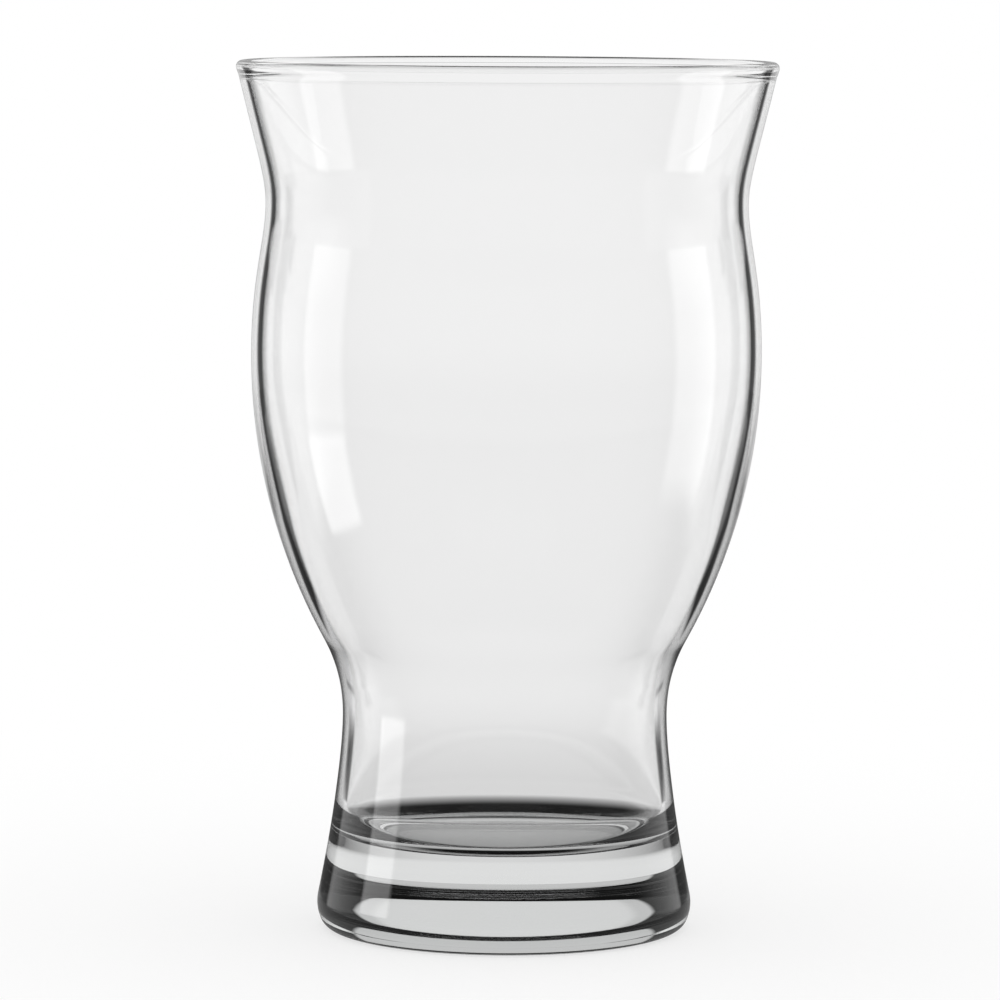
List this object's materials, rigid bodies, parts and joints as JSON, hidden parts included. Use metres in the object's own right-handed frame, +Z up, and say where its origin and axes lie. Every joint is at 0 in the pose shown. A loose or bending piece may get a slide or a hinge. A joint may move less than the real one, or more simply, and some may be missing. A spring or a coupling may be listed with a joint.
{
  "type": "stackable beer glass",
  "caption": "Clear stackable beer glass with a flared lip, rounded bowl, narrow waist and thick flared foot. It holds a drink and nests in the mouth of a glass like it.",
  "frame": {"origin": "centre of the bearing ring, on the plane that the glass stands on", "axes": "+Z up along the glass's axis; X and Y are level and interchangeable, because the glass is round"},
  "size_m": [0.0888, 0.0888, 0.143],
  "materials": {
    "clear_glass": "colourless soda-lime glass, fire-polished and smooth all over"
  },
  "bodies": {
    "root": {"solid_base": "clear_glass", "foot_wall": "clear_glass", "stacking_shoulder": "clear_glass", "lower_bowl": "clear_glass", "belly": "clear_glass", "neck": "clear_glass", "flared_lip": "clear_glass", "rim_bead": "clear_glass"}
  },
  "joints": []
}
